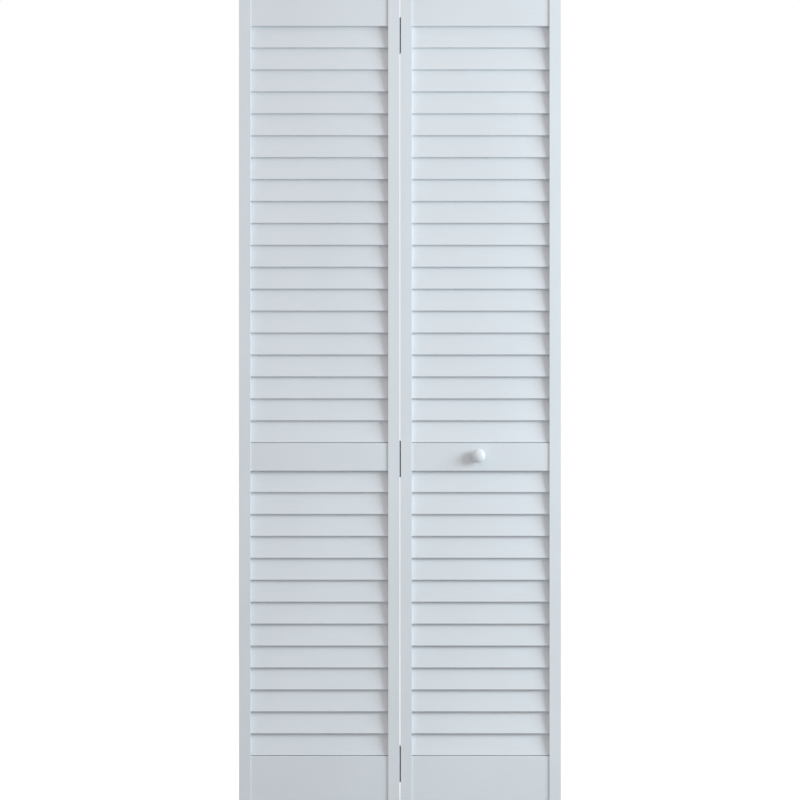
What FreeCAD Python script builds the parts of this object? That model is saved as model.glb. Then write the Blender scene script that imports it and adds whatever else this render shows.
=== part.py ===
"""Louvred bifold closet door, two panels wide, with its header track and pivot hardware.

Units are millimetres. +Z is up, the room side faces -Y and +X runs from the pivot jamb to the far jamb.
The origin is on the jamb pivot's axis, at floor level. The door is modelled closed.
The left panel turns on the jamb pivot and carries the hinges. The right panel hangs on them, carries the
knob, and is led along the header track by a sprung guide wheel.
"""

import FreeCAD
import Part

import math
import os

from FreeCAD import Placement, Rotation, Vector

X_AXIS = Vector(1, 0, 0)
Y_AXIS = Vector(0, 1, 0)
Z_AXIS = Vector(0, 0, 1)

# How far a cutting shape runs past the face that it cuts, and how nearly equal two lengths have to be
overshoot = 1.0
same_length = 1e-6

# ---------------------------------------------------------------- driving dimensions

# Door panels
door_width = 800.0
door_height = 1997.0
panel_gap = 1.8
stile_width = 28.6
stile_thickness = 28.6
stile_edge_radius = 0.4
rail_thickness = 22.2
rail_edge_radius = 1.5
top_rail_height = 70.0
middle_rail_height = 69.4
bottom_rail_height = 112.6
rail_step_height = 3.0
rail_step_clearance = 0.4
joint_clearance = 0.05
tight_clearance = 0.02

# Louvre slats
upper_slat_count = 19
lower_slat_count = 13
slat_overlap = 3.7
slat_thickness = 6.0
slat_edge_radius = 1.5
slat_tilt = 9.5
slat_rail_gap = 0.6
slot_depth = 6.5
slat_end_clearance = 0.3
slot_clearance = 0.15

# Dowels that join the rails to the stiles
dowel_radius = 4.0
dowel_in_stile = 8.0
dowel_in_rail = 22.0
dowel_from_rail_edge = 17.0
dowel_end_clearance = 0.5

# Hinges between the panels
hinge_height = 89.0
hinge_end_distance = 92.0
middle_hinge_below_rail_middle = 5.2
leaf_thickness = 1.5
leaf_front_margin = 8.0
leaf_corner_radius = 2.5
leaf_nest_clearance = 0.5
inner_leaf_height = 53.0
outer_leaf_front_strip = 6.0
hinge_relief_depth = 1.3
hinge_axis_offset = 3.6
knuckle_radius = 3.2
knuckle_gap = 0.25
hinge_pin_radius = 1.6
hinge_pin_head_radius = 2.7
hinge_pin_head_height = 1.4
outer_screw_from_end = 9.0
inner_screw_from_end = 12.5
hinge_screw_length = 16.0
hinge_screw_radius = 1.7
hinge_screw_head_radius = 3.1
hinge_screw_tip_length = 3.0
hinge_screw_tip_radius = 0.3
hinge_screw_recess_width = 0.9
hinge_screw_recess_length = 3.4
hinge_screw_recess_depth = 0.9
screw_clearance = 0.05

# Knob and its machine screw
knob_from_panel_middle = 5.8
knob_above_rail_middle = 3.3
knob_head_radius = 17.5
knob_projection = 26.5
knob_base_radius = 10.0
knob_base_height = 2.2
knob_neck_radius = 7.2
knob_neck_height = 6.0
knob_head_widest = 15.5
knob_bore_depth = 16.0
knob_screw_radius = 2.0
knob_screw_in_knob = 13.0
knob_screw_head_radius = 4.6
knob_screw_head_height = 2.6
knob_screw_head_edge_radius = 1.4
knob_screw_recess_width = 1.1
knob_screw_recess_length = 5.0
knob_screw_recess_depth = 1.4
knob_hole_clearance = 0.3

# Sleeves, pins and springs in the stile ends
floor_clearance = 22.2
sleeve_radius = 5.5
sleeve_length = 45.0
sleeve_floor = 2.5
sleeve_bore_radius = 4.1
sleeve_lip = 2.6
sleeve_flange_radius = 8.0
sleeve_flange_height = 1.2
pin_radius = 3.2
pin_collar_height = 3.0
pin_collar_clearance = 0.1
pin_stem_below_collar = 5.0
pin_stem_radius = 2.6
running_clearance = 0.05
top_pin_projection = 14.0
pin_tip_chamfer = 1.2
spring_wire_radius = 0.45
spring_turns = 8

# Bottom pivot: toothed post, adjusting nut and thrust washer
post_radius = 4.0
bottom_sleeve_length = 38.0
bottom_sleeve_flange_height = 2.0
bottom_sleeve_roof = 1.5
post_in_sleeve = 33.0
thread_pitch = 1.27
thread_depth = 0.5
thread_flat = 0.2
thread_top_margin = 1.2
post_collar_height = 4.0
post_collar_across_flats = 13.0
nut_height = 5.0
nut_across_flats = 14.0
washer_height = 1.2
washer_radius = 8.0
washer_clearance = 0.1
post_tooth_count = 12
post_tooth_radius = 5.3
post_root_radius = 4.4
post_tip_floor_gap = 1.2

# Jamb bracket
bracket_sheet = 1.8
deck_height = 7.0
jamb_leg_distance = 23.0
jamb_leg_height = 24.0
bracket_width = 32.0
deck_length = 36.0
floor_tab_length = 20.0
tooth_slot_half_width = 4.7
tooth_notch_half_width = 5.7
tooth_notch_width = 1.9
tooth_notch_pitch = 3.0
tooth_notch_count = 8
tooth_clearance = 0.2
bracket_hole_radius = 2.5
jamb_hole_height = 14.0
jamb_hole_spacing = 16.0
floor_hole_spacing = 16.0
floor_hole_from_end = 10.0

# Header track
opening_clearance = 13.0
track_cut_clearance = 3.0
track_width = 33.0
track_height = 20.0
track_sheet = 1.5
track_bend_radius = 2.0
track_slot_half_width = 10.2
track_lip_height = 6.0
track_door_gap = 9.0
track_hole_radius = 2.5
track_hole_count = 4
track_hole_from_end = 90.0

# Top pivot bracket, clamped inside the track
top_bracket_plate = 3.0
top_bracket_side_gap = 0.4
top_bracket_boss_gap = 1.2
top_bracket_boss_lift = 0.3
top_bracket_behind_pivot = 14.0
top_bracket_ahead_of_pivot = 38.0
top_bracket_corner_radius = 3.0
socket_clearance = 0.1
set_screw_from_pivot = 24.0
set_screw_radius = 3.0
set_screw_socket_depth = 3.0
set_screw_key = 3.0

# Guide wheel
wheel_radius = 9.5
wheel_height = 6.5
wheel_edge_radius = 1.2
wheel_lift = 0.5
wheel_journal_radius = 2.5
wheel_end_clearance = 0.2
wheel_hub_recess = 1.0
wheel_hub_radius = 5.5
retainer_radius = 4.5
retainer_height = 1.2
guide_pin_end = 0.6

# ---------------------------------------------------------------- worked-out places

panel_width = (door_width - panel_gap) / 2
pivot_inset = stile_width / 2
door_left = -pivot_inset
hinge_x = door_left + panel_width + panel_gap / 2
guide_x = 2 * hinge_x
back_y = stile_thickness / 2
front_y = -stile_thickness / 2
rail_front_y = -rail_thickness / 2
rail_back_y = rail_thickness / 2
hinge_y = back_y + hinge_axis_offset

rails_height = top_rail_height + middle_rail_height + bottom_rail_height
slat_pitch = (door_height - rails_height) / (upper_slat_count + lower_slat_count)
slat_tilt_angle = math.radians(slat_tilt)
slat_height = slat_pitch + slat_overlap
slat_width = (slat_height - slat_thickness * math.sin(slat_tilt_angle)) / math.cos(slat_tilt_angle)
slat_foot_back_y = (slat_thickness * math.cos(slat_tilt_angle) - slat_width * math.sin(slat_tilt_angle)) / 2
rail_step_y = slat_foot_back_y + rail_step_height * math.tan(slat_tilt_angle) + rail_step_clearance

door_bottom = floor_clearance
bottom_rail_top = door_bottom + bottom_rail_height
middle_rail_bottom = bottom_rail_top + lower_slat_count * slat_pitch
middle_rail_top = middle_rail_bottom + middle_rail_height
top_rail_bottom = middle_rail_top + upper_slat_count * slat_pitch
door_top = top_rail_bottom + top_rail_height

track_bottom = door_top + track_door_gap
track_top = track_bottom + track_height
track_length = door_width + opening_clearance - track_cut_clearance
track_left = -jamb_leg_distance + track_cut_clearance / 2
track_hole_spacing = (track_length - 2 * track_hole_from_end) / (track_hole_count - 1)
lip_top = track_bottom + track_lip_height

sleeve_flange_top = door_top + sleeve_flange_height
collar_top = sleeve_flange_top - sleeve_lip
collar_bottom = collar_top - pin_collar_height
sleeve_bottom = door_top - sleeve_length
sleeve_floor_top = sleeve_bottom + sleeve_floor

bottom_flange_bottom = door_bottom - bottom_sleeve_flange_height
washer_bottom = bottom_flange_bottom - washer_height
nut_bottom = washer_bottom - nut_height
post_collar_top = deck_height + post_collar_height
post_top = bottom_flange_bottom + post_in_sleeve

hinge_heights = {
    "top": door_top - hinge_end_distance,
    "middle": (middle_rail_bottom + middle_rail_top) / 2 - middle_hinge_below_rail_middle,
    "bottom": door_bottom + hinge_end_distance,
}


# ---------------------------------------------------------------- shared shapes


def block(x0, x1, y0, y1, z0, z1):
    """Box between two corners."""
    return Part.makeBox(x1 - x0, y1 - y0, z1 - z0, Vector(x0, y0, z0))


def rod(radius, start, direction, length):
    """Cylinder from a start point along a direction."""
    return Part.makeCylinder(radius, length, start, direction)


def upright(radius, x, y, z0, z1):
    """Vertical cylinder between two heights."""
    return rod(radius, Vector(x, y, z0), Z_AXIS, z1 - z0)


def edges_along(shape, axis):
    """The straight edges of a shape that run along an axis."""
    found = []
    for edge in shape.Edges:
        start, end = edge.Vertexes[0].Point, edge.Vertexes[-1].Point
        run = end - start
        if run.Length > 0 and abs(abs(run.normalize().dot(axis)) - 1) < same_length:
            found.append(edge)
    return found


def board(x0, x1, y0, y1, z0, z1, axis, radius):
    """Box whose edges along one axis are rounded."""
    plain = block(x0, x1, y0, y1, z0, z1)
    return plain.makeFillet(radius, edges_along(plain, axis))


def hexagon(across_flats, x, y, z0, z1):
    """Upright hexagonal prism."""
    corner = across_flats / 2 / math.cos(math.pi / 6)
    points = [
        Vector(x + corner * math.cos(k * math.pi / 3), y + corner * math.sin(k * math.pi / 3), z0)
        for k in range(6)
    ]
    face = Part.Face(Part.makePolygon(points + points[:1]))
    return face.extrude(Vector(0, 0, z1 - z0))


def turned(points, x=0.0, y=0.0):
    """Solid of revolution about an upright axis. Points are (radius, height)."""
    corners = [Vector(r, 0, z) for r, z in points]
    face = Part.Face(Part.makePolygon(corners + corners[:1]))
    solid = face.revolve(Vector(0, 0, 0), Z_AXIS, 360)
    solid.translate(Vector(x, y, 0))
    return solid


def cross_recess(point, direction, width, length, depth):
    """Cutter for a screwdriver cross, sunk from a point on the head along a direction."""
    slots = []
    for turn in (0, 90):
        slot = Part.makeBox(width, length, depth, Vector(-width / 2, -length / 2, 0))
        slot.rotate(Vector(0, 0, 0), Z_AXIS, turn)
        slots.append(slot)
    cutter = slots[0].fuse(slots[1])
    cutter.Placement = Placement(point, Rotation(Z_AXIS, direction))
    return cutter


# ---------------------------------------------------------------- louvre slats


def slat(x0, x1, centre_z, thickness, width, radius):
    """One tilted slat. Its lower edge is towards the room and its upper edge towards the closet."""
    plain = board(x0, x1, -thickness / 2, thickness / 2, -width / 2, width / 2, X_AXIS, radius)
    plain.rotate(Vector(0, 0, 0), X_AXIS, -slat_tilt)
    plain.translate(Vector(0, 0, centre_z))
    return plain


def slat_heights(opening_bottom, count):
    """Centre heights of the slats over an opening's lower edge."""
    first = opening_bottom + slat_rail_gap + slat_height / 2
    return [first + k * slat_pitch for k in range(count)]


upper_slat_heights = slat_heights(middle_rail_top, upper_slat_count)
lower_slat_heights = slat_heights(bottom_rail_top, lower_slat_count)


def slat_bank(inner_left, inner_right, heights):
    """All slats of one opening, each a separate solid."""
    reach = slot_depth - slat_end_clearance
    return Part.makeCompound(
        [
            slat(inner_left - reach, inner_right + reach, z, slat_thickness, slat_width, slat_edge_radius)
            for z in heights
        ]
    )


def slat_slot(x0, x1, z):
    """Cutter for the slot that a slat's end or edge sits in."""
    return slat(
        x0,
        x1,
        z,
        slat_thickness + 2 * slot_clearance,
        slat_width + 2 * slot_clearance,
        slat_edge_radius + slot_clearance,
    )


# ---------------------------------------------------------------- panels

rail_spans = {
    "top": (top_rail_bottom, door_top),
    "middle": (middle_rail_bottom, middle_rail_top),
    "bottom": (door_bottom, bottom_rail_top),
}


def dowel_heights():
    """Heights of the dowels, two at each end of every rail."""
    heights = []
    for low, high in rail_spans.values():
        heights += [low + dowel_from_rail_edge, high - dowel_from_rail_edge]
    return heights


def stile(x0, x1, inner_side):
    """Upright of a panel, slotted for the slats and drilled for the dowels. inner_side is +1 where
    its inner face looks along +X and -1 where it looks along -X."""
    solid = board(x0, x1, front_y, back_y, door_bottom, door_top, Z_AXIS, stile_edge_radius)
    face_x = x1 if inner_side > 0 else x0
    mouth_x = face_x + inner_side * overshoot
    bottom_x = face_x - inner_side * slot_depth
    cutters = [
        slat_slot(min(mouth_x, bottom_x), max(mouth_x, bottom_x), z)
        for z in upper_slat_heights + lower_slat_heights
    ]
    drill_depth = dowel_in_stile + dowel_end_clearance
    for z in dowel_heights():
        start = Vector(face_x, 0, z)
        cutters.append(rod(dowel_radius + joint_clearance, start, X_AXIS * -inner_side, drill_depth))
    return solid.cut(Part.makeCompound(cutters))


def rail_bar(x0, x1, low, high, stepped):
    """Bar of a rail with its outer edges rounded. A stepped one stands up behind the foot of the slat
    over it, and closes the slit under that slat."""
    outline = [(rail_front_y, high), (rail_front_y, low), (rail_back_y, low)]
    if stepped:
        step_top = high + rail_step_height
        outline += [(rail_back_y, step_top), (rail_step_y, step_top), (rail_step_y, high)]
    else:
        outline += [(rail_back_y, high)]
    corners = [Vector(x0, y, z) for y, z in outline]
    bar = Part.Face(Part.makePolygon(corners + corners[:1])).extrude(X_AXIS * (x1 - x0))
    outer = [e for e in edges_along(bar, X_AXIS) if abs(e.CenterOfMass.y - rail_step_y) > same_length]
    return bar.makeFillet(rail_edge_radius, outer)


def rail(x0, x1, low, high, stepped, slat_below=None):
    """Cross member of a panel, drilled for its dowels and grooved for the slat that tucks up into it."""
    solid = rail_bar(x0, x1, low, high, stepped)
    drill_depth = dowel_in_rail + dowel_end_clearance
    cutters = []
    for z in (low + dowel_from_rail_edge, high - dowel_from_rail_edge):
        for face_x, way in ((x0, X_AXIS), (x1, -X_AXIS)):
            cutters.append(rod(dowel_radius + joint_clearance, Vector(face_x, 0, z), way, drill_depth))
    if slat_below is not None:
        cutters.append(slat_slot(x0 - overshoot, x1 + overshoot, slat_below))
    return solid.cut(Part.makeCompound(cutters))


def rails(x0, x1):
    """The three rails of a panel, by place."""
    tucked = {"top": upper_slat_heights[-1], "middle": lower_slat_heights[-1], "bottom": None}
    return {
        place: rail(x0, x1, *span, stepped=place != "top", slat_below=tucked[place])
        for place, span in rail_spans.items()
    }


def dowels(inner_left, inner_right):
    """The twelve dowels of a panel."""
    length = dowel_in_stile + dowel_in_rail
    pins = []
    for z in dowel_heights():
        pins.append(rod(dowel_radius, Vector(inner_left - dowel_in_stile, 0, z), X_AXIS, length))
        pins.append(rod(dowel_radius, Vector(inner_right - dowel_in_rail, 0, z), X_AXIS, length))
    return Part.makeCompound(pins)


def panel(name, left, outer_stile_name, hinge_stile_name, hinge_on_right):
    """The timber pieces of one panel whose left edge is at a given place."""
    right = left + panel_width
    inner_left, inner_right = left + stile_width, right - stile_width
    left_name, right_name = (
        (outer_stile_name, hinge_stile_name) if hinge_on_right else (hinge_stile_name, outer_stile_name)
    )
    pieces = {
        left_name: stile(left, inner_left, 1),
        right_name: stile(inner_right, right, -1),
        f"{name}_upper_slats": slat_bank(inner_left, inner_right, upper_slat_heights),
        f"{name}_lower_slats": slat_bank(inner_left, inner_right, lower_slat_heights),
        f"{name}_dowels": dowels(inner_left, inner_right),
    }
    for place, solid in rails(inner_left, inner_right).items():
        pieces[f"{name}_{place}_rail"] = solid
    return pieces


# ---------------------------------------------------------------- hinges

leaf_front_y = front_y + leaf_front_margin
outer_screw_y = (leaf_front_y + back_y) / 2
inner_leaf_front_y = leaf_front_y + outer_leaf_front_strip
inner_screw_y = (inner_leaf_front_y + back_y) / 2
half_gap = panel_gap / 2


def leaf_blank(x0, y0, z0, z1):
    """Flat plate from a front edge back to the hinge axis, with its two front corners rounded."""
    plain = block(x0, x0 + leaf_thickness, y0, hinge_y, z0, z1)
    front = [e for e in edges_along(plain, X_AXIS) if abs(e.CenterOfMass.y - y0) < same_length]
    return plain.makeFillet(leaf_corner_radius, front)


def knuckle(z0, z1):
    """Barrel segment of a hinge."""
    return upright(knuckle_radius, hinge_x, hinge_y, z0, z1)


def hinge_screw_places(centre, outer):
    """(y, z) of the two screws of a leaf."""
    if outer:
        reach, y = hinge_height / 2 - outer_screw_from_end, outer_screw_y
    else:
        reach, y = inner_leaf_height / 2 - inner_screw_from_end, inner_screw_y
    return [(y, centre - reach), (y, centre + reach)]


def hinge_screw(y, z, outer, clearance=0.0):
    """Flat-head wood screw, or with a clearance the hole that it needs. Its head lies flush in its leaf."""
    way = -1 if outer else 1
    face_x = hinge_x - way * (leaf_thickness - half_gap)
    start, direction = Vector(face_x, y, z), X_AXIS * way
    head_depth = hinge_screw_head_radius - hinge_screw_radius
    head = Part.makeCone(
        hinge_screw_head_radius + clearance, hinge_screw_radius + clearance, head_depth, start, direction
    )
    shank_length = hinge_screw_length - head_depth - hinge_screw_tip_length
    shank = rod(hinge_screw_radius + clearance, start + direction * head_depth, direction, shank_length)
    tip_start = start + direction * (head_depth + shank_length)
    tip = Part.makeCone(
        hinge_screw_radius + clearance,
        hinge_screw_tip_radius + clearance,
        hinge_screw_tip_length + clearance,
        tip_start,
        direction,
    )
    solid = head.fuse([shank, tip])
    if clearance == 0.0:
        solid = solid.cut(
            cross_recess(
                start,
                direction,
                hinge_screw_recess_width,
                hinge_screw_recess_length,
                hinge_screw_recess_depth,
            )
        )
    return solid


def pin_bore():
    """Cutter for the hinge pins' holes, as long as the whole door."""
    return upright(hinge_pin_radius + running_clearance, hinge_x, hinge_y, door_bottom, door_top)


def outer_leaf(centre):
    """Leaf on the left panel: a frame around the inner leaf, with the two end knuckles."""
    low, high = centre - hinge_height / 2, centre + hinge_height / 2
    window = inner_leaf_height / 2 + leaf_nest_clearance
    x0 = hinge_x - half_gap
    plate = leaf_blank(x0, leaf_front_y, low, high)
    opening = block(
        x0 - overshoot,
        x0 + leaf_thickness + overshoot,
        inner_leaf_front_y - leaf_nest_clearance,
        hinge_y + knuckle_radius + overshoot,
        centre - window,
        centre + window,
    )
    barrel = knuckle(low, centre - window).fuse(knuckle(centre + window, high))
    solid = plate.cut(opening).fuse(barrel).cut(pin_bore())
    holes = [hinge_screw(y, z, True, screw_clearance) for y, z in hinge_screw_places(centre, True)]
    return solid.cut(Part.makeCompound(holes)).removeSplitter()


def inner_leaf(centre):
    """Leaf on the right panel, which nests in the outer leaf and has the middle knuckle."""
    low, high = centre - inner_leaf_height / 2, centre + inner_leaf_height / 2
    x0 = hinge_x + half_gap - leaf_thickness
    plate = leaf_blank(x0, inner_leaf_front_y, low, high)
    reach = inner_leaf_height / 2 + leaf_nest_clearance - knuckle_gap
    barrel = knuckle(centre - reach, centre + reach)
    solid = plate.fuse(barrel).cut(pin_bore())
    holes = [hinge_screw(y, z, False, screw_clearance) for y, z in hinge_screw_places(centre, False)]
    return solid.cut(Part.makeCompound(holes)).removeSplitter()


def hinge_pin(centre):
    """Hinge pin with a domed head on its upper end."""
    low, high = centre - hinge_height / 2, centre + hinge_height / 2
    shaft = upright(hinge_pin_radius, hinge_x, hinge_y, low - hinge_pin_head_height / 2, high)
    head = Part.makeCone(
        hinge_pin_head_radius,
        hinge_pin_head_radius - hinge_pin_head_height / 2,
        hinge_pin_head_height,
        Vector(hinge_x, hinge_y, high),
        Z_AXIS,
    )
    return shaft.fuse(head)


def hinge_screws(outer):
    """All hinge screws of one panel."""
    return [
        hinge_screw(y, z, outer)
        for centre in hinge_heights.values()
        for y, z in hinge_screw_places(centre, outer)
    ]


def hinge_screw_holes(outer):
    """Cutter for the screw holes in the stile beside the hinges."""
    return Part.makeCompound(
        [
            hinge_screw(y, z, outer, screw_clearance)
            for centre in hinge_heights.values()
            for y, z in hinge_screw_places(centre, outer)
        ]
    )


def hinge_reliefs():
    """Cutter for the shallow steps in the right hinge stile's edge, open to the room side, that give the
    outer leaves' front strips room."""
    x0 = hinge_x + half_gap
    return Part.makeCompound(
        [
            block(
                x0 - overshoot,
                x0 + hinge_relief_depth,
                front_y - overshoot,
                inner_leaf_front_y - leaf_nest_clearance,
                centre - hinge_height / 2,
                centre + hinge_height / 2,
            )
            for centre in hinge_heights.values()
        ]
    )


# ---------------------------------------------------------------- knob

knob_x = hinge_x + (panel_gap + panel_width) / 2 - knob_from_panel_middle
knob_z = (middle_rail_bottom + middle_rail_top) / 2 + knob_above_rail_middle


def quarter_ellipse(centre, start, end):
    """Edge round a quarter of an ellipse, between the ends of its two half axes."""
    handle = 4 / 3 * (math.sqrt(2) - 1)
    curve = Part.BezierCurve()
    curve.setPoles([start, start + (end - centre) * handle, end + (start - centre) * handle, end])
    return curve.toShape()


def knob():
    """Turned knob with a bore for its screw. It stands on the rail's room face."""
    foot, base = Vector(0, 0, 0), Vector(knob_base_radius, 0, 0)
    base_top = Vector(knob_base_radius, 0, knob_base_height)
    neck = Vector(knob_neck_radius, 0, knob_neck_height)
    widest = Vector(knob_head_radius, 0, knob_head_widest)
    crown = Vector(0, 0, knob_projection)
    edges = [
        Part.makeLine(foot, base),
        Part.makeLine(base, base_top),
        Part.makeLine(base_top, neck),
        quarter_ellipse(Vector(neck.x, 0, widest.z), neck, widest),
        quarter_ellipse(Vector(0, 0, widest.z), widest, crown),
        Part.makeLine(crown, foot),
    ]
    solid = Part.Face(Part.Wire(edges)).revolve(foot, Z_AXIS, 360)
    bore = upright(knob_screw_radius + screw_clearance, 0, 0, -overshoot, knob_bore_depth)
    solid = solid.cut(bore)
    solid.Placement = Placement(Vector(knob_x, rail_front_y, knob_z), Rotation(Z_AXIS, -Y_AXIS))
    return solid


def knob_screw():
    """Machine screw from the closet side, through the rail into the knob."""
    start = Vector(knob_x, rail_back_y, knob_z)
    shank = rod(knob_screw_radius, start, -Y_AXIS, rail_thickness + knob_screw_in_knob)
    head = rod(knob_screw_head_radius, start, Y_AXIS, knob_screw_head_height)
    rim_y = rail_back_y + knob_screw_head_height
    rim = [e for e in head.Edges if abs(e.CenterOfMass.y - rim_y) < same_length]
    head = head.makeFillet(knob_screw_head_edge_radius, rim)
    top = start + Y_AXIS * knob_screw_head_height
    recess = cross_recess(
        top, -Y_AXIS, knob_screw_recess_width, knob_screw_recess_length, knob_screw_recess_depth
    )
    return shank.fuse(head).cut(recess)


def knob_hole():
    """Cutter for the screw's hole through the rail."""
    start = Vector(knob_x, rail_back_y + overshoot, knob_z)
    length = rail_thickness + 2 * overshoot
    return rod(knob_screw_radius + knob_hole_clearance, start, -Y_AXIS, length)


# ---------------------------------------------------------------- sprung pins in the stile tops


def sleeve(x):
    """Nylon sleeve in a stile's top, with a flange, a lip that stops the pin and a closed foot."""
    body = upright(sleeve_radius, x, 0, sleeve_bottom, door_top)
    flange = upright(sleeve_flange_radius, x, 0, door_top, sleeve_flange_top)
    bore = upright(sleeve_bore_radius, x, 0, sleeve_floor_top, collar_top)
    mouth = upright(pin_radius + running_clearance, x, 0, collar_top, sleeve_flange_top)
    return body.fuse(flange).cut(bore.fuse(mouth))


def sleeve_hole(x):
    """Cutter for the hole that a top sleeve sits in."""
    foot = sleeve_bottom - dowel_end_clearance
    return upright(sleeve_radius + joint_clearance, x, 0, foot, door_top + overshoot)


def pin_foot_points():
    """(radius, height) of a sprung pin's foot: the stem inside the spring and the collar under the lip."""
    collar_radius = sleeve_bore_radius - pin_collar_clearance
    return [
        (0, collar_bottom - pin_stem_below_collar),
        (pin_stem_radius, collar_bottom - pin_stem_below_collar),
        (pin_stem_radius, collar_bottom),
        (collar_radius, collar_bottom),
        (collar_radius, collar_top),
        (pin_radius, collar_top),
    ]


def top_pivot_pin():
    """Sprung pin that turns in the bracket's socket."""
    tip = sleeve_flange_top + top_pin_projection
    return turned(
        pin_foot_points()
        + [(pin_radius, tip - pin_tip_chamfer), (pin_radius - pin_tip_chamfer, tip), (0, tip)]
    )


def pin_spring(x):
    """Compression spring between a sleeve's floor and its pin's collar. Its coils are half rings, tilted
    by turns one way and the other, so that each climbs half a turn and all meet squarely."""
    coil_radius = sleeve_bore_radius - spring_wire_radius - pin_collar_clearance
    low = sleeve_floor_top + spring_wire_radius
    climb = (collar_bottom - spring_wire_radius - low) / (2 * spring_turns)
    tilt = math.degrees(math.asin(climb / 2 / coil_radius))
    halves = []
    for k in range(2 * spring_turns):
        side = 1 if k % 2 == 0 else -1
        section = Part.Face(
            Part.Wire(Part.makeCircle(spring_wire_radius, Vector(side * coil_radius, 0, 0), Y_AXIS))
        )
        half = section.revolve(Vector(0, 0, 0), Z_AXIS, 180)
        half.rotate(Vector(0, 0, 0), Y_AXIS, side * tilt)
        half.translate(Vector(x, 0, low + (k + 0.5) * climb))
        halves.append(half)
    return halves[0].fuse(halves[1:])


# ---------------------------------------------------------------- guide wheel

wheel_bottom = track_bottom + wheel_lift
wheel_top = wheel_bottom + wheel_height
shoulder_z = wheel_bottom - wheel_end_clearance
retainer_bottom = wheel_top + wheel_end_clearance
retainer_top = retainer_bottom + retainer_height


def guide_pin():
    """Sprung pin with a journal for the guide wheel."""
    return turned(
        pin_foot_points()
        + [
            (pin_radius, shoulder_z),
            (wheel_journal_radius, shoulder_z),
            (wheel_journal_radius, retainer_top + guide_pin_end),
            (0, retainer_top + guide_pin_end),
        ],
        guide_x,
    )


def guide_wheel():
    """Nylon wheel with rounded rims and a recessed web."""
    wheel = upright(wheel_radius, guide_x, 0, wheel_bottom, wheel_top)
    rims = [e for e in wheel.Edges if abs(e.Length - 2 * math.pi * wheel_radius) < same_length]
    wheel = wheel.makeFillet(wheel_edge_radius, rims)
    bore = upright(wheel_journal_radius + running_clearance, guide_x, 0, wheel_bottom, wheel_top)
    groove_radius = wheel_radius - 2 * wheel_edge_radius
    groove = upright(groove_radius, guide_x, 0, wheel_top - wheel_hub_recess, wheel_top).cut(
        upright(wheel_hub_radius, guide_x, 0, wheel_top - wheel_hub_recess, wheel_top)
    )
    return wheel.cut(bore).cut(groove)


def guide_wheel_retainer():
    """Push-on cap that keeps the wheel on its pin."""
    cap = upright(retainer_radius, guide_x, 0, retainer_bottom, retainer_top)
    bore_radius = wheel_journal_radius + tight_clearance
    return cap.cut(upright(bore_radius, guide_x, 0, retainer_bottom, retainer_top))


# ---------------------------------------------------------------- bottom pivot


def thread_points(z0, z1, radius):
    """(radius, height) zigzag of a thread, drawn as rings, from a lower to an upper height."""
    turns = max(1, int((z1 - z0) / thread_pitch))
    points = []
    for k in range(turns):
        low = z0 + k * thread_pitch
        points.append((radius, low + thread_flat / 2))
        points.append((radius - thread_depth, low + thread_pitch / 2))
        points.append((radius, low + thread_pitch - thread_flat / 2))
    return points


def toothed_tip():
    """Star-shaped tip that locks into the jamb bracket."""
    points = []
    for k in range(2 * post_tooth_count):
        angle = math.pi / 2 + k * math.pi / post_tooth_count
        radius = post_tooth_radius if k % 2 == 0 else post_root_radius
        points.append(Vector(radius * math.cos(angle), radius * math.sin(angle), post_tip_floor_gap))
    face = Part.Face(Part.makePolygon(points + points[:1]))
    return face.extrude(Vector(0, 0, deck_height - post_tip_floor_gap))


def bottom_pivot_post():
    """Steel post: toothed tip, hexagonal collar on the bracket's deck, thread and plain pivot."""
    collar = hexagon(post_collar_across_flats, 0, 0, deck_height, post_collar_top)
    thread_top = washer_bottom - thread_top_margin
    shaft = turned(
        [(0, deck_height), (post_radius, deck_height)]
        + thread_points(post_collar_top, thread_top, post_radius)
        + [(post_radius, post_top - pin_tip_chamfer)]
        + [(post_radius - pin_tip_chamfer, post_top), (0, post_top)]
    )
    return toothed_tip().fuse([collar, shaft])


def adjusting_nut():
    """Hexagonal nut on the post that carries the door's weight and sets its height."""
    nut = hexagon(nut_across_flats, 0, 0, nut_bottom, washer_bottom)
    return nut.cut(upright(post_radius + running_clearance, 0, 0, nut_bottom, washer_bottom))


def thrust_washer():
    """Nylon washer between the nut and the turning sleeve."""
    washer = upright(washer_radius, 0, 0, washer_bottom, bottom_flange_bottom)
    return washer.cut(upright(post_radius + washer_clearance, 0, 0, washer_bottom, bottom_flange_bottom))


def bottom_pivot_sleeve():
    """Flanged nylon sleeve in the stile's foot, which turns on the post."""
    body = upright(sleeve_radius, 0, 0, door_bottom, door_bottom + bottom_sleeve_length)
    flange = upright(sleeve_flange_radius, 0, 0, bottom_flange_bottom, door_bottom)
    roof = door_bottom + bottom_sleeve_length - bottom_sleeve_roof
    bore = upright(post_radius + running_clearance, 0, 0, bottom_flange_bottom, roof)
    return body.fuse(flange).cut(bore)


def bottom_sleeve_hole():
    """Cutter for the hole that the bottom sleeve sits in."""
    top = door_bottom + bottom_sleeve_length + dowel_end_clearance
    return upright(sleeve_radius + joint_clearance, 0, 0, door_bottom - overshoot, top)


# ---------------------------------------------------------------- jamb bracket


def tooth_slot():
    """Cutter for the notched slot that lets the pivot be set nearer to or further from the jamb."""
    last = (tooth_notch_count - 1) * tooth_notch_pitch
    z0, z1 = -overshoot, deck_height + overshoot
    reach = tooth_slot_half_width
    slot = block(0, last, -reach, reach, z0, z1)
    cutters = [upright(reach, 0, 0, z0, z1), upright(reach, last, 0, z0, z1)]
    for k in range(tooth_notch_count):
        x = k * tooth_notch_pitch
        half = tooth_notch_width / 2
        cutters.append(block(x - half, x + half, -tooth_notch_half_width, tooth_notch_half_width, z0, z1))
    cutters.append(upright(post_tooth_radius + tooth_clearance, 0, 0, z0, z1))
    return slot.fuse(cutters)


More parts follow.
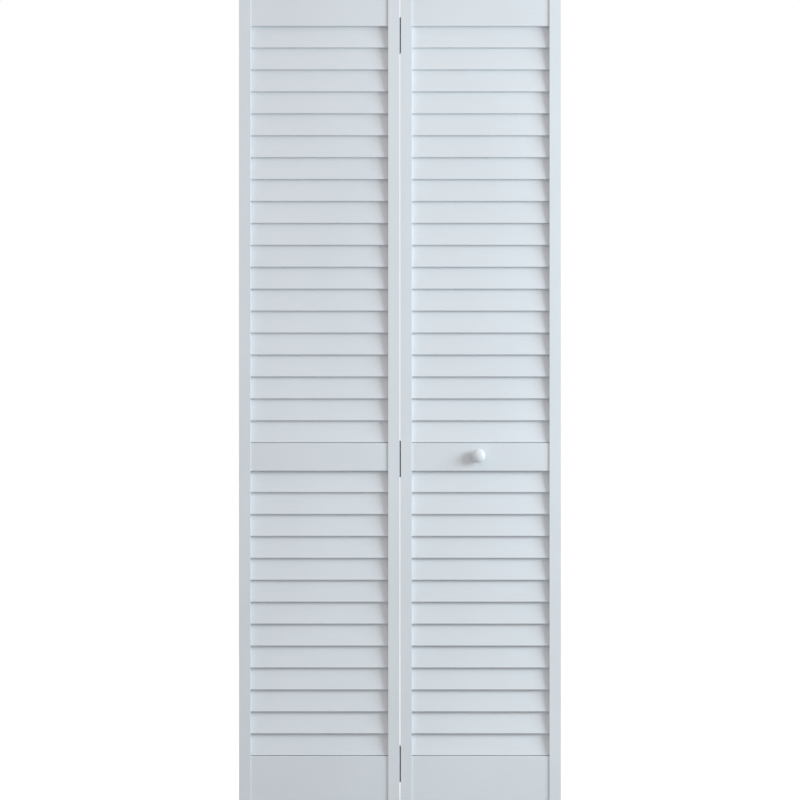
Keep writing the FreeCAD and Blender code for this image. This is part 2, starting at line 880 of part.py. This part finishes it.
def jamb_bracket():
    """Pressed steel bracket: raised deck on two skirts, a leg up the jamb and a tab on the floor."""
    leg_x = -jamb_leg_distance
    half = bracket_width / 2
    deck_end = deck_length
    deck = block(leg_x, deck_end, -half, half, 0, deck_height)
    hollow = block(
        leg_x + bracket_sheet,
        deck_end - bracket_sheet,
        -half + bracket_sheet,
        half - bracket_sheet,
        -overshoot,
        deck_height - bracket_sheet,
    )
    leg = board(leg_x, leg_x + bracket_sheet, -half, half, 0, jamb_leg_height, X_AXIS, bracket_sheet)
    tab = board(
        deck_end - bracket_sheet,
        deck_end + floor_tab_length,
        -half,
        half,
        0,
        bracket_sheet,
        Z_AXIS,
        bracket_sheet,
    )
    holes = [tooth_slot()]
    for y in (-jamb_hole_spacing / 2, jamb_hole_spacing / 2):
        start = Vector(leg_x - overshoot, y, jamb_hole_height)
        holes.append(rod(bracket_hole_radius, start, X_AXIS, bracket_sheet + 2 * overshoot))
    hole_x = deck_end + floor_tab_length - floor_hole_from_end
    for y in (-floor_hole_spacing / 2, floor_hole_spacing / 2):
        holes.append(upright(bracket_hole_radius, hole_x, y, -overshoot, bracket_sheet + overshoot))
    solid = deck.cut(hollow).fuse([leg, tab]).cut(Part.makeCompound(holes))
    return solid.removeSplitter()


# ---------------------------------------------------------------- header track


def track():
    """Steel channel with its slot downwards. The slot's edges turn up into the lips that lead the wheel."""
    half = track_width / 2
    x0, x1 = track_left, track_left + track_length
    outside = board(x0, x1, -half, half, track_bottom, track_top, X_AXIS, track_bend_radius)
    inside = board(
        x0 - overshoot,
        x1 + overshoot,
        -half + track_sheet,
        half - track_sheet,
        track_bottom + track_sheet,
        track_top - track_sheet,
        X_AXIS,
        track_bend_radius - track_sheet / 2,
    )
    slot = block(
        x0 - overshoot,
        x1 + overshoot,
        -track_slot_half_width,
        track_slot_half_width,
        track_bottom - overshoot,
        lip_top,
    )
    lips = [
        block(x0, x1, track_slot_half_width, track_slot_half_width + track_sheet, track_bottom, lip_top),
        block(x0, x1, -track_slot_half_width - track_sheet, -track_slot_half_width, track_bottom, lip_top),
    ]
    hole_bottom = track_top - track_sheet - overshoot
    holes = []
    for k in range(track_hole_count):
        x = x0 + track_hole_from_end + k * track_hole_spacing
        holes.append(upright(track_hole_radius, x, 0, hole_bottom, track_top + overshoot))
    solid = outside.cut(inside.fuse(slot)).fuse(lips)
    return solid.cut(Part.makeCompound(holes)).removeSplitter()


boss_bottom = track_bottom + top_bracket_boss_lift
plate_top = lip_top + top_bracket_plate


def top_pivot_bracket():
    """Block that lies on the track's lips, with the socket for the top pivot pin and a set screw's hole."""
    x0, x1 = -top_bracket_behind_pivot, top_bracket_ahead_of_pivot
    plate_half = track_width / 2 - track_sheet - top_bracket_side_gap
    boss_half = track_slot_half_width - top_bracket_boss_gap
    plate = board(x0, x1, -plate_half, plate_half, lip_top, plate_top, Z_AXIS, top_bracket_corner_radius)
    boss = board(x0, x1, -boss_half, boss_half, boss_bottom, lip_top, Z_AXIS, top_bracket_corner_radius)
    low, high = boss_bottom - overshoot, plate_top + overshoot
    socket = upright(pin_radius + socket_clearance, 0, 0, low, high)
    screw_hole = upright(set_screw_radius + tight_clearance, set_screw_from_pivot, 0, low, high)
    return plate.fuse(boss).cut(Part.makeCompound([socket, screw_hole])).removeSplitter()


def top_bracket_set_screw():
    """Screw that presses on the track's web and clamps the bracket down on the lips."""
    top = track_top - track_sheet
    solid = turned(
        [(0, boss_bottom), (set_screw_radius, boss_bottom), (set_screw_radius, plate_top)]
        + thread_points(plate_top, top - thread_pitch, set_screw_radius)
        + [(set_screw_radius - thread_depth, top), (0, top)],
        set_screw_from_pivot,
    )
    key_top = boss_bottom + set_screw_socket_depth
    key = hexagon(set_screw_key, set_screw_from_pivot, 0, boss_bottom - overshoot, key_top)
    return solid.cut(key)


# ---------------------------------------------------------------- the whole door


def build():
    """Every sub-part by name."""
    nodes = {}
    nodes.update(panel("left", door_left, "left_jamb_stile", "left_hinge_stile", True))
    nodes.update(
        panel("right", hinge_x + panel_gap / 2, "right_guide_stile", "right_hinge_stile", False)
    )
    pivot_holes = sleeve_hole(0).fuse(bottom_sleeve_hole())
    nodes["left_jamb_stile"] = nodes["left_jamb_stile"].cut(pivot_holes)
    nodes["right_guide_stile"] = nodes["right_guide_stile"].cut(sleeve_hole(guide_x))
    nodes["left_hinge_stile"] = nodes["left_hinge_stile"].cut(hinge_screw_holes(True))
    nodes["right_hinge_stile"] = nodes["right_hinge_stile"].cut([hinge_screw_holes(False), hinge_reliefs()])
    nodes["right_middle_rail"] = nodes["right_middle_rail"].cut(knob_hole())

    for place, centre in hinge_heights.items():
        nodes[f"{place}_hinge_left_leaf"] = outer_leaf(centre)
        nodes[f"{place}_hinge_right_leaf"] = inner_leaf(centre)
        nodes[f"{place}_hinge_pin"] = hinge_pin(centre)
    nodes["left_hinge_screws"] = Part.makeCompound(hinge_screws(True))
    nodes["right_hinge_screws"] = Part.makeCompound(hinge_screws(False))

    nodes["knob"] = knob()
    nodes["knob_screw"] = knob_screw()

    nodes["top_pivot_sleeve"] = sleeve(0)
    nodes["top_pivot_spring"] = pin_spring(0)
    nodes["top_pivot_pin"] = top_pivot_pin()
    nodes["guide_sleeve"] = sleeve(guide_x)
    nodes["guide_spring"] = pin_spring(guide_x)
    nodes["guide_pin"] = guide_pin()
    nodes["guide_wheel"] = guide_wheel()
    nodes["guide_wheel_retainer"] = guide_wheel_retainer()

    nodes["bottom_pivot_post"] = bottom_pivot_post()
    nodes["adjusting_nut"] = adjusting_nut()
    nodes["thrust_washer"] = thrust_washer()
    nodes["bottom_pivot_sleeve"] = bottom_pivot_sleeve()
    nodes["jamb_bracket"] = jamb_bracket()

    nodes["track"] = track()
    nodes["top_pivot_bracket"] = top_pivot_bracket()
    nodes["top_bracket_set_screw"] = top_bracket_set_screw()
    return nodes


def main():
    os.makedirs("parts", exist_ok=True)
    for name, shape in build().items():
        shape.exportStep(f"parts/{name}.step")
        print(f"{name}: {len(shape.Solids)} solids, valid {shape.isValid()}, {shape.Volume / 1000:.1f} cm3")


main()
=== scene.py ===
"""Looks of the louvred bifold closet door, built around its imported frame. Lengths are in metres."""

import math

import bpy
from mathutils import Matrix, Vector


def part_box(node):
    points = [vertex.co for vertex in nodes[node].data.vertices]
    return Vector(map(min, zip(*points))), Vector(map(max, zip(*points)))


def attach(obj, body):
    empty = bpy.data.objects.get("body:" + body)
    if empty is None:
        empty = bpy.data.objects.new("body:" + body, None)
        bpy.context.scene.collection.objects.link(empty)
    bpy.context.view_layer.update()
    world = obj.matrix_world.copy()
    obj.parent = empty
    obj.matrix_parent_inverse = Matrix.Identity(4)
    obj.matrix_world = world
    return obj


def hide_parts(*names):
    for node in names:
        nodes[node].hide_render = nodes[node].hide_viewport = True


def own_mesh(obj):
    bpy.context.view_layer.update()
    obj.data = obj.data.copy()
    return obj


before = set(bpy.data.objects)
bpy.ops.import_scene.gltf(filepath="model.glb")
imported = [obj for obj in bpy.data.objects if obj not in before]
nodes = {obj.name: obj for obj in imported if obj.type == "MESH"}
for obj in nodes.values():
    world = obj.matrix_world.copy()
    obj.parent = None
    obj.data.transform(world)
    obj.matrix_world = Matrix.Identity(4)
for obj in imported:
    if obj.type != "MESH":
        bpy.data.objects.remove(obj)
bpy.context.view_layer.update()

# ---------------------------------------------------------------- places read from the frame

jamb_stile_low, jamb_stile_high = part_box("left_jamb_stile")
left_edge = jamb_stile_low.x
right_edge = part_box("right_guide_stile")[1].x
door_low, door_high = jamb_stile_low.z, jamb_stile_high.z
front_y = jamb_stile_low.y
middle_x = (left_edge + right_edge) / 2
door_middle = Vector((middle_x, front_y, (door_low + door_high) / 2))

# ---------------------------------------------------------------- camera, light and stage sizes

picture_pixels = 800
door_pixels_wide = 322.0
door_top_cut = 0.0054
camera_distance = 10.0
sensor_millimetres = 36.0

# The lamp's place is counted from the middle of the door's front.
key_place = Vector((3.5, -1.65, 0.92))
key_width = 2.0
key_height = 1.5
key_watts = 145.0
key_colour = (0.791, 0.923, 1.0)
world_colour = (1.0, 0.947, 0.938)
world_strength = 0.717
background_strength = 1.0
floor_half_size = 6.0
floor_colour = (0.28, 0.28, 0.28)
floor_cloud_shade = 0.99
floor_roughness = 0.8
floor_glow = 0.80

# ---------------------------------------------------------------- spring sizes

wire_radius = 0.00045
closed_turns = 1.0
open_turns = 8.0
# Closed turns all but touch: they rise by a little more than the wire's thickness.
closed_pitch = 2.04 * wire_radius
steps_per_turn = 36
wire_sides = 12

# ---------------------------------------------------------------- paint

paint_white = (0.725, 0.760, 0.785)
paint_cloud_shades = (0.995, 1.035)
paint_streak_shades = (0.97, 0.99)
paint_roughness = (0.40, 0.50)
grain_stretch = 0.04
grain_depth = 0.0003
peel_depth = 0.0001


# ---------------------------------------------------------------- material helpers


def tinted(colour, factor):
    """A colour made lighter or darker."""
    return tuple(channel * factor for channel in colour)


class Material:
    """A node material with one Principled shader, and short calls to add nodes to it."""

    def __init__(self, name):
        self.material = bpy.data.materials.new(name)
        self.material.use_nodes = True
        self.tree = self.material.node_tree
        self.tree.nodes.clear()
        self.shader = self.add("ShaderNodeBsdfPrincipled")
        self.output = self.add("ShaderNodeOutputMaterial")
        self.link(self.shader.outputs["BSDF"], self.output.inputs["Surface"])
        self.place = self.add("ShaderNodeTexCoord").outputs["Object"]
        self.normal = None

    def add(self, kind, **settings):
        """New node, with its own properties set."""
        node = self.tree.nodes.new(kind)
        for name, value in settings.items():
            setattr(node, name, value)
        return node

    def link(self, output, target):
        self.tree.links.new(output, target)

    def set(self, **values):
        """Constants on the shader's sockets. An underscore stands for a space."""
        for name, value in values.items():
            self.shader.inputs[name.replace("_", " ")].default_value = value

    def feed(self, **outputs):
        """Outputs linked to the shader's sockets. An underscore stands for a space."""
        for name, output in outputs.items():
            self.link(output, self.shader.inputs[name.replace("_", " ")])

    def noise(self, scale, detail, stretch=(1, 1, 1)):
        """Noise over the object's own coordinates, drawn out along an axis of a small stretch."""
        mapping = self.add("ShaderNodeMapping")
        mapping.inputs["Scale"].default_value = stretch
        self.link(self.place, mapping.inputs["Vector"])
        texture = self.add("ShaderNodeTexNoise")
        texture.inputs["Scale"].default_value = scale
        texture.inputs["Detail"].default_value = detail
        self.link(mapping.outputs["Vector"], texture.inputs["Vector"])
        return texture.outputs["Fac"]

    def ramp(self, factor, dark, light, start=0.3, end=0.7):
        """Dark to light colour, as a factor goes from start to end."""
        ramp = self.add("ShaderNodeValToRGB")
        for element, position, colour in zip(ramp.color_ramp.elements, (start, end), (dark, light)):
            element.position = position
            element.color = (*colour, 1)
        self.link(factor, ramp.inputs["Fac"])
        return ramp.outputs["Color"]

    def times(self, colour, other):
        """Two colours multiplied."""
        product = self.add("ShaderNodeVectorMath", operation="MULTIPLY")
        self.link(colour, product.inputs[0])
        self.link(other, product.inputs[1])
        return product.outputs["Vector"]

    def span(self, factor, low, high):
        """Factor from 0 to 1 turned into low to high."""
        span = self.add("ShaderNodeMapRange")
        span.inputs["To Min"].default_value = low
        span.inputs["To Max"].default_value = high
        self.link(factor, span.inputs["Value"])
        return span.outputs["Result"]

    def bump(self, height, depth, strength):
        """Bump of a depth in metres, on top of the bumps before it."""
        bump = self.add("ShaderNodeBump")
        bump.inputs["Distance"].default_value = depth
        bump.inputs["Strength"].default_value = strength
        self.link(height, bump.inputs["Height"])
        if self.normal is not None:
            self.link(self.normal, bump.inputs["Normal"])
        self.normal = bump.outputs["Normal"]
        self.feed(Normal=self.normal)


# ---------------------------------------------------------------- materials


def painted_wood(name, grain_along):
    """Sprayed satin paint over close-grained wood, with the grain just showing through."""
    made = Material(name)
    along = {"x": (grain_stretch, 1, 1), "z": (1, 1, grain_stretch)}[grain_along]
    cloud = made.noise(scale=3.0, detail=3.0)
    grain = made.noise(scale=420.0, detail=4.0, stretch=along)
    peel = made.noise(scale=1100.0, detail=2.0)
    shades = (tinted(paint_white, shade) for shade in paint_cloud_shades)
    streaks = ((shade, shade, shade) for shade in paint_streak_shades)
    clouded = made.ramp(cloud, *shades, start=0.35, end=0.65)
    streaked = made.ramp(grain, *streaks)
    made.feed(
        Base_Color=made.times(clouded, streaked),
        Roughness=made.span(grain, *paint_roughness),
    )
    made.bump(grain, grain_depth, strength=0.3)
    made.bump(peel, peel_depth, strength=0.2)
    made.set(Coat_Weight=0.12, Coat_Roughness=0.35)
    return made.material


def turned_knob():
    """Semi-gloss paint on the turned knob."""
    made = Material("knob_paint")
    cloud = made.noise(scale=60.0, detail=2.0)
    made.feed(
        Base_Color=made.ramp(cloud, dark=(0.70, 0.725, 0.745), light=(0.73, 0.755, 0.775)),
        Roughness=made.span(cloud, low=0.26, high=0.34),
    )
    made.bump(made.noise(scale=400.0, detail=2.0), depth=0.0002, strength=0.1)
    made.set(Coat_Weight=0.3, Coat_Roughness=0.2)
    return made.material


def raw_wood():
    """Unfinished hardwood of the dowels."""
    made = Material("dowel_wood")
    grain = made.noise(scale=260.0, detail=4.0, stretch=(0.05, 1, 1))
    made.feed(Base_Color=made.ramp(grain, dark=(0.42, 0.27, 0.15), light=(0.62, 0.44, 0.27)))
    made.bump(grain, depth=0.0003, strength=0.4)
    made.set(Roughness=0.7)
    return made.material


def metal(name, dark, light, smooth, rough, brush=(1, 1, 1)):
    """Faintly clouded metal with fine brushing, drawn out along an axis of a small brush."""
    made = Material(name)
    cloud = made.noise(scale=35.0, detail=4.0)
    lines = made.noise(scale=900.0, detail=2.0, stretch=brush)
    made.feed(
        Base_Color=made.ramp(cloud, dark, light),
        Roughness=made.span(lines, smooth, rough),
    )
    made.bump(lines, depth=0.0001, strength=0.2)
    made.set(Metallic=1.0)
    return made.material


def nylon():
    """Moulded white nylon, slightly waxy."""
    made = Material("nylon")
    cloud = made.noise(scale=60.0, detail=3.0)
    made.feed(
        Base_Color=made.ramp(cloud, dark=(0.76, 0.76, 0.72), light=(0.82, 0.82, 0.79)),
        Roughness=made.span(cloud, low=0.38, high=0.48),
    )
    made.bump(made.noise(scale=1500.0, detail=2.0), depth=0.0001, strength=0.15)
    made.set(Subsurface_Weight=0.1, Subsurface_Scale=0.002)
    return made.material


def enamel():
    """White baked enamel on the header track."""
    made = Material("track_enamel")
    cloud = made.noise(scale=8.0, detail=3.0)
    sheen = made.noise(scale=300.0, detail=2.0)
    made.feed(
        Base_Color=made.ramp(cloud, dark=(0.77, 0.78, 0.79), light=(0.81, 0.82, 0.83)),
        Roughness=made.span(sheen, low=0.28, high=0.36),
    )
    made.bump(made.noise(scale=700.0, detail=2.0), depth=0.0001, strength=0.15)
    made.set(Coat_Weight=0.3, Coat_Roughness=0.2)
    return made.material


upright_paint = painted_wood("paint_on_uprights", "z")
cross_paint = painted_wood("paint_on_cross_members", "x")
# The hinge metal is made almost black: painted shade, standing in for the shade the hinges sit in
# deep in the narrow gap between the panels, not a dark finish of their own.
hinge_metal = metal(
    "dark_nickel",
    dark=(0.09, 0.09, 0.095),
    light=(0.14, 0.14, 0.145),
    smooth=0.42,
    rough=0.55,
    brush=(1, 1, 0.05),
)
zinc = metal(
    "zinc_plate",
    dark=(0.55, 0.56, 0.57),
    light=(0.68, 0.69, 0.70),
    smooth=0.24,
    rough=0.36,
    brush=(1, 1, 0.2),
)
spring_wire = metal(
    "spring_wire",
    dark=(0.30, 0.30, 0.31),
    light=(0.40, 0.40, 0.41),
    smooth=0.30,
    rough=0.40,
)
knob_paint = turned_knob()
dowel_wood = raw_wood()
white_nylon = nylon()
track_enamel = enamel()


def finish_of(node):
    """Material of a node, by what it is."""
    if "dowels" in node:
        return dowel_wood
    if node == "knob":
        return knob_paint
    if "stile" in node:
        return upright_paint
    if "rail" in node or "slats" in node:
        return cross_paint
    if "hinge" in node:
        return hinge_metal
    if "spring" in node:
        return spring_wire
    if "sleeve" in node or node in ("guide_wheel", "thrust_washer"):
        return white_nylon
    if node == "track":
        return track_enamel
    return zinc


for name, piece in nodes.items():
    piece.data.materials.clear()
    piece.data.materials.append(finish_of(name))


# ---------------------------------------------------------------- springs


def spring_height(turn, height):
    """Height of a spring's wire after a number of turns. It is wound close at both ends."""
    turns = open_turns + 2 * closed_turns
    closed_height = closed_turns * closed_pitch
    if turn <= closed_turns:
        return turn * closed_pitch
    if turn >= turns - closed_turns:
        return height - (turns - turn) * closed_pitch
    return closed_height + (turn - closed_turns) / open_turns * (height - 2 * closed_height)


def spring_mesh(name, foot, radius, height):
    """Round wire swept along a coil that stands on a foot point."""
    steps = round((open_turns + 2 * closed_turns) * steps_per_turn)
    path = []
    for k in range(steps + 1):
        turn = k / steps_per_turn
        angle = 2 * math.pi * turn
        ring = Vector((math.cos(angle), math.sin(angle), 0)) * radius
        path.append(foot + ring + Vector((0, 0, spring_height(turn, height))))
    points = []
    for k, point in enumerate(path):
        along = (path[min(k + 1, steps)] - path[max(k - 1, 0)]).normalized()
        outward = Vector((point.x - foot.x, point.y - foot.y, 0)).normalized()
        upward = along.cross(outward).normalized()
        for side in range(wire_sides):
            angle = 2 * math.pi * side / wire_sides
            spoke = outward * math.cos(angle) + upward * math.sin(angle)
            points.append(point + spoke * wire_radius)
    faces = []
    for k in range(steps):
        for side in range(wire_sides):
            a, b = k * wire_sides + side, k * wire_sides + (side + 1) % wire_sides
            faces.append((a, b, b + wire_sides, a + wire_sides))
    faces.append(tuple(reversed(range(wire_sides))))
    faces.append(tuple(steps * wire_sides + side for side in range(wire_sides)))
    mesh = bpy.data.meshes.new(name)
    mesh.from_pydata(points, [], faces)
    for face in mesh.polygons:
        is_end_cap = len(face.vertices) == wire_sides
        face.use_smooth = not is_end_cap
    return mesh


def coil_spring(node, body):
    """Coil spring in a CAD spring's place, carried by the body it belongs to."""
    low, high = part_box(node)
    radius = (high.x - low.x) / 2 - wire_radius
    foot = Vector(((low.x + high.x) / 2, (low.y + high.y) / 2, low.z + wire_radius))
    height = high.z - low.z
    mesh = spring_mesh(f"{node}_coil", foot, radius, height - 2 * wire_radius)
    mesh.materials.append(spring_wire)
    spring = bpy.data.objects.new(mesh.name, mesh)
    bpy.context.scene.collection.objects.link(spring)
    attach(spring, body)
    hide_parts(node)
    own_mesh(spring)


coil_spring("top_pivot_spring", "pivot_panel")
coil_spring("guide_spring", "lead_panel")


# ---------------------------------------------------------------- stage, light and camera


def seen_directly(tree):
    """1 for rays from the camera, and for reflected and transmitted ones, or else 0."""
    path = tree.nodes.new("ShaderNodeLightPath")
    seen = path.outputs["Is Camera Ray"]
    for kind in ("Is Glossy Ray", "Is Transmission Ray"):
        either = tree.nodes.new("ShaderNodeMath")
        either.operation = "MAXIMUM"
        tree.links.new(seen, either.inputs[0])
        tree.links.new(path.outputs[kind], either.inputs[1])
        seen = either.outputs["Value"]
    return seen


def floor_material():
    """Grey where it throws light back, and nearly white to the camera and in reflections."""
    made = Material("floor")
    cloud = made.noise(scale=2.0, detail=2.0)
    glow = made.add("ShaderNodeMath", operation="MULTIPLY")
    glow.inputs[1].default_value = floor_glow
    made.link(seen_directly(made.tree), glow.inputs[0])
    made.feed(
        Base_Color=made.ramp(cloud, tinted(floor_colour, floor_cloud_shade), floor_colour),
        Emission_Strength=glow.outputs["Value"],
    )
    made.set(Roughness=floor_roughness, Emission_Color=(1, 1, 1, 1))
    return made.material


def make_floor():
    """Plain pale floor that keeps the door's soft shadow."""
    half = floor_half_size
    mesh = bpy.data.meshes.new("floor")
    corners = [(-half, -half, 0), (half, -half, 0), (half, half, 0), (-half, half, 0)]
    mesh.from_pydata(corners, [], [(0, 1, 2, 3)])
    mesh.materials.append(floor_material())
    floor = bpy.data.objects.new("floor", mesh)
    floor.location = (middle_x, 0, 0)
    bpy.context.scene.collection.objects.link(floor)


def make_world():
    """Even light from all round, and plain white where the camera or a reflection sees it."""
    world = bpy.data.worlds.new("studio")
    bpy.context.scene.world = world
    world.use_nodes = True
    tree = world.node_tree
    tree.nodes.clear()
    light = tree.nodes.new("ShaderNodeBackground")
    light.inputs["Color"].default_value = (*world_colour, 1)
    light.inputs["Strength"].default_value = world_strength
    white = tree.nodes.new("ShaderNodeBackground")
    white.inputs["Color"].default_value = (1, 1, 1, 1)
    white.inputs["Strength"].default_value = background_strength
    mix = tree.nodes.new("ShaderNodeMixShader")
    output = tree.nodes.new("ShaderNodeOutputWorld")
    tree.links.new(seen_directly(tree), mix.inputs["Fac"])
    tree.links.new(light.outputs["Background"], mix.inputs[1])
    tree.links.new(white.outputs["Background"], mix.inputs[2])
    tree.links.new(mix.outputs["Shader"], output.inputs["Surface"])


def look_at(thing, target):
    """Turn a lamp or camera towards a point."""
    thing.rotation_euler = (target - thing.location).to_track_quat("-Z", "Y").to_euler()


def make_key_light():
    """Large soft lamp in front of the door, to its right and above its middle."""
    data = bpy.data.lights.new("key", "AREA")
    data.shape = "RECTANGLE"
    data.size = key_width
    data.size_y = key_height
    data.energy = key_watts
    data.color = key_colour
    lamp = bpy.data.objects.new("key", data)
    lamp.location = door_middle + key_place
    lamp.visible_camera = False
    bpy.context.scene.collection.objects.link(lamp)
    look_at(lamp, door_middle)


def make_camera():
    """Camera square to the door, framed so that the door's two ends are just cut off."""
    metres_per_pixel = (right_edge - left_edge) / door_pixels_wide
    view = metres_per_pixel * picture_pixels
    data = bpy.data.cameras.new("camera")
    data.sensor_width = sensor_millimetres
    data.lens = sensor_millimetres * camera_distance / view
    camera = bpy.data.objects.new("camera", data)
    camera.location = (middle_x, front_y - camera_distance, door_high - door_top_cut - view / 2)
    camera.rotation_euler = (math.pi / 2, 0, 0)
    bpy.context.scene.collection.objects.link(camera)
    bpy.context.scene.camera = camera


make_floor()
make_world()
make_key_light()
make_camera()
bpy.context.scene.view_settings.view_transform = "Standard"
